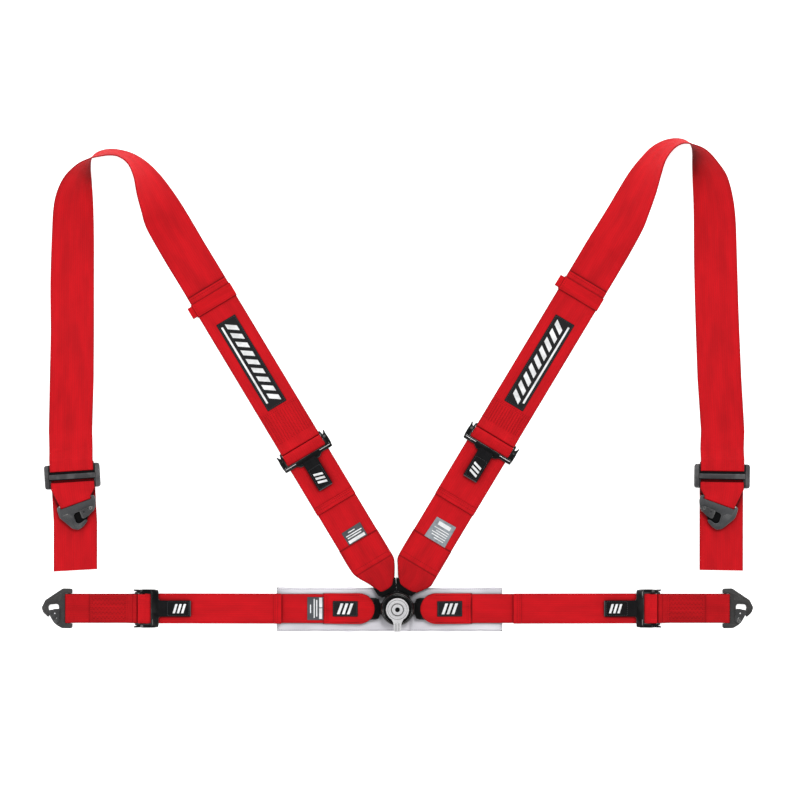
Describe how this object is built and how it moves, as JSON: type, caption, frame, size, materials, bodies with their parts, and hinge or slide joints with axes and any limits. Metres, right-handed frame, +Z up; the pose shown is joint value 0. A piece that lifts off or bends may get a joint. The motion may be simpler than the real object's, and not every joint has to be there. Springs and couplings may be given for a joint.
{
  "type": "racing harness",
  "caption": "Four-point racing harness with rotary-lever buckle, tilt adjusters, three-bar slides and snap hooks, laid out flat with its shoulder belts looped round.",
  "frame": {"origin": "On the floor under the axis of the buckle: the underside of the buckle pad.", "axes": "+X along the lap belts towards the wearer's left-hand side as drawn, +Y from the lap belts towards the shoulder belts, +Z up from the floor through the buckle."},
  "size_m": [1.2396, 0.8609, 0.0766],
  "materials": {
    "webbing": "red polyester webbing, fine lengthwise ribs",
    "belt_cover": "red woven cover sewn over the webbing",
    "pad_satin": "silver-grey satin, lightly padded",
    "tab_webbing": "black narrow webbing",
    "black_steel": "black oxide, semi-gloss",
    "grey_steel": "dark grey phosphated steel, fine texture",
    "gate_steel": "bright zinc, satin",
    "black_plastic": "moulded black nylon",
    "silver_lever": "satin anodised",
    "spring_steel": "bright spring steel"
  },
  "bodies": {
    "buckle": {"buckle_pad": "pad_satin", "buckle_base": "black_steel", "buckle_housing": "black_plastic", "return_spring": "spring_steel", "tongue_lap_right": "black_steel", "belt_cover_lap_right": "belt_cover", "lower_belt_lap_right": "webbing"},
    "lever": {"release_lever": "silver_lever", "lever_badge": "silver_lever", "cam_rotor": "black_steel"},
    "lap_left_tongue": {"tongue_lap_left": "black_steel", "belt_cover_lap_left": "belt_cover", "lower_belt_lap_left": "webbing"},
    "lap_left_adjuster": {"adjuster_frame_lap_left": "black_steel", "lock_bar_lap_left": "gate_steel", "belt_turn_lap_left": "webbing", "outer_belt_lap_left": "webbing"},
    "lap_left_tail": {"free_tail_lap_left": "webbing"},
    "lap_left_tab": {"pull_tab_lap_left": "tab_webbing"},
    "lap_left_hook": {"snap_hook_lap_left": "grey_steel", "gate_rivet_lap_left": "silver_lever"},
    "lap_left_gate": {"hook_gate_lap_left": "gate_steel"},
    "shoulder_left_tongue": {"tongue_shoulder_left": "black_steel", "belt_cover_shoulder_left": "belt_cover", "lower_belt_shoulder_left": "webbing"},
    "shoulder_left_adjuster": {"adjuster_frame_shoulder_left": "black_steel", "lock_bar_shoulder_left": "gate_steel", "belt_turn_shoulder_left": "webbing", "upper_belt_left": "webbing", "three_bar_slide_left": "black_plastic"},
    "shoulder_left_tail": {"free_tail_shoulder_left": "webbing"},
    "shoulder_left_tab": {"pull_tab_shoulder_left": "tab_webbing"},
    "left_keeper": {"keeper_left": "webbing"},
    "shoulder_left_hook": {"snap_hook_shoulder_left": "grey_steel", "gate_rivet_shoulder_left": "silver_lever"},
    "shoulder_left_gate": {"hook_gate_shoulder_left": "gate_steel"},
    "lap_right_adjuster": {"adjuster_frame_lap_right": "black_steel", "lock_bar_lap_right": "gate_steel", "belt_turn_lap_right": "webbing", "outer_belt_lap_right": "webbing"},
    "lap_right_tail": {"free_tail_lap_right": "webbing"},
    "lap_right_tab": {"pull_tab_lap_right": "tab_webbing"},
    "lap_right_hook": {"snap_hook_lap_right": "grey_steel", "gate_rivet_lap_right": "silver_lever"},
    "lap_right_gate": {"hook_gate_lap_right": "gate_steel"},
    "shoulder_right_tongue": {"tongue_shoulder_right": "black_steel", "belt_cover_shoulder_right": "belt_cover", "lower_belt_shoulder_right": "webbing"},
    "shoulder_right_adjuster": {"adjuster_frame_shoulder_right": "black_steel", "lock_bar_shoulder_right": "gate_steel", "belt_turn_shoulder_right": "webbing", "upper_belt_right": "webbing", "three_bar_slide_right": "black_plastic"},
    "shoulder_right_tail": {"free_tail_shoulder_right": "webbing"},
    "shoulder_right_tab": {"pull_tab_shoulder_right": "tab_webbing"},
    "right_keeper": {"keeper_right": "webbing"},
    "shoulder_right_hook": {"snap_hook_shoulder_right": "grey_steel", "gate_rivet_shoulder_right": "silver_lever"},
    "shoulder_right_gate": {"hook_gate_shoulder_right": "gate_steel"}
  },
  "joints": [
    {"name": "lever_turn", "type": "hinge", "parent": "buckle", "child": "lever", "pos_m": [0, 0, 0.025], "axis": [0, 0, 1], "range_deg": [-60, 60], "stiffness_Nm_per_rad": 0.1},
    {"name": "lap_left_tongue_out", "type": "slide", "parent": "buckle", "child": "lap_left_tongue", "axis": [-1, 0, 0], "range_m": [0, 0.03]},
    {"name": "lap_left_adjust", "type": "slide", "parent": "lap_left_tongue", "child": "lap_left_adjuster", "axis": [1, 0, 0], "range_m": [-0.04, 0.03]},
    {"name": "lap_left_tail_feed", "type": "slide", "parent": "lap_left_adjuster", "child": "lap_left_tail", "axis": [1, 0, 0], "range_m": [-0.04, 0.03]},
    {"name": "lap_left_tab_lift", "type": "hinge", "parent": "lap_left_adjuster", "child": "lap_left_tab", "pos_m": [-0.4149, 0, 0.0085], "axis": [0, -1, 0], "range_deg": [0, 75]},
    {"name": "lap_left_hook_swing", "type": "hinge", "parent": "lap_left_adjuster", "child": "lap_left_hook", "pos_m": [-0.5747, 0, 0.0043], "axis": [0, 1, 0], "range_deg": [0, 45]},
    {"name": "lap_left_gate_swing", "type": "hinge", "parent": "lap_left_hook", "child": "lap_left_gate", "pos_m": [-0.594, -0.0216, 0.0043], "axis": [0, 0, -1], "range_deg": [0, 25], "stiffness_Nm_per_rad": 0.02, "springref_deg": -17.19},
    {"name": "shoulder_left_tongue_out", "type": "slide", "parent": "buckle", "child": "shoulder_left_tongue", "axis": [-0.4848, 0.8746, 0], "range_m": [0, 0.03]},
    {"name": "shoulder_left_adjust", "type": "slide", "parent": "shoulder_left_tongue", "child": "shoulder_left_adjuster", "axis": [0.515, -0.8572, 0], "range_m": [-0.04, 0.03]},
    {"name": "shoulder_left_tail_feed", "type": "slide", "parent": "shoulder_left_adjuster", "child": "shoulder_left_tail", "axis": [0.515, -0.8572, 0], "range_m": [-0.04, 0.03]},
    {"name": "shoulder_left_tab_lift", "type": "hinge", "parent": "shoulder_left_adjuster", "child": "shoulder_left_tab", "pos_m": [-0.15273, 0.25835, 0.0085], "axis": [-0.8572, -0.515, 0], "range_deg": [0, 75]},
    {"name": "left_keeper_slide", "type": "slide", "parent": "shoulder_left_adjuster", "child": "left_keeper", "axis": [-0.515, 0.8572, 0], "range_m": [-0.02, 0.008]},
    {"name": "shoulder_left_hook_swing", "type": "hinge", "parent": "shoulder_left_adjuster", "child": "shoulder_left_hook", "pos_m": [-0.56081, 0.18598, 0.0067], "axis": [-0.9397, -0.342, 0], "range_deg": [0, 45]},
    {"name": "shoulder_left_gate_swing", "type": "hinge", "parent": "shoulder_left_hook", "child": "shoulder_left_gate", "pos_m": [-0.53391, 0.17523, 0.0067], "axis": [0, 0, -1], "range_deg": [0, 25], "stiffness_Nm_per_rad": 0.02, "springref_deg": -17.19},
    {"name": "lap_right_adjust", "type": "slide", "parent": "buckle", "child": "lap_right_adjuster", "axis": [-1, 0, 0], "range_m": [-0.04, 0.03]},
    {"name": "lap_right_tail_feed", "type": "slide", "parent": "lap_right_adjuster", "child": "lap_right_tail", "axis": [-1, 0, 0], "range_m": [-0.04, 0.03]},
    {"name": "lap_right_tab_lift", "type": "hinge", "parent": "lap_right_adjuster", "child": "lap_right_tab", "pos_m": [0.4149, 0, 0.0085], "axis": [0, 1, 0], "range_deg": [0, 75]},
    {"name": "lap_right_hook_swing", "type": "hinge", "parent": "lap_right_adjuster", "child": "lap_right_hook", "pos_m": [0.5747, 0, 0.0043], "axis": [0, -1, 0], "range_deg": [0, 45]},
    {"name": "lap_right_gate_swing", "type": "hinge", "parent": "lap_right_hook", "child": "lap_right_gate", "pos_m": [0.594, -0.0216, 0.0043], "axis": [0, 0, 1], "range_deg": [0, 25], "stiffness_Nm_per_rad": 0.02, "springref_deg": -17.19},
    {"name": "shoulder_right_tongue_out", "type": "slide", "parent": "buckle", "child": "shoulder_right_tongue", "axis": [0.3907, 0.9205, 0], "range_m": [0, 0.03]},
    {"name": "shoulder_right_adjust", "type": "slide", "parent": "shoulder_right_tongue", "child": "shoulder_right_adjuster", "axis": [-0.515, -0.8572, 0], "range_m": [-0.04, 0.03]},
    {"name": "shoulder_right_tail_feed", "type": "slide", "parent": "shoulder_right_adjuster", "child": "shoulder_right_tail", "axis": [-0.515, -0.8572, 0], "range_m": [-0.04, 0.03]},
    {"name": "shoulder_right_tab_lift", "type": "hinge", "parent": "shoulder_right_adjuster", "child": "shoulder_right_tab", "pos_m": [0.15409, 0.27292, 0.0085], "axis": [-0.8572, 0.515, 0], "range_deg": [0, 75]},
    {"name": "right_keeper_slide", "type": "slide", "parent": "shoulder_right_adjuster", "child": "right_keeper", "axis": [0.515, 0.8572, 0], "range_m": [-0.02, 0.008]},
    {"name": "shoulder_right_hook_swing", "type": "hinge", "parent": "shoulder_right_adjuster", "child": "shoulder_right_hook", "pos_m": [0.56081, 0.18598, 0.0067], "axis": [-0.9397, 0.342, 0], "range_deg": [0, 45]},
    {"name": "shoulder_right_gate_swing", "type": "hinge", "parent": "shoulder_right_hook", "child": "shoulder_right_gate", "pos_m": [0.53391, 0.17523, 0.0067], "axis": [0, 0, 1], "range_deg": [0, 25], "stiffness_Nm_per_rad": 0.02, "springref_deg": -17.19}
  ],
  "couplings": [
    {"joint": "lap_left_tail_feed", "follows": "lap_left_adjust", "ratio": 1},
    {"joint": "shoulder_left_tail_feed", "follows": "shoulder_left_adjust", "ratio": 1},
    {"joint": "lap_right_tail_feed", "follows": "lap_right_adjust", "ratio": 1},
    {"joint": "shoulder_right_tail_feed", "follows": "shoulder_right_adjust", "ratio": 1}
  ]
}
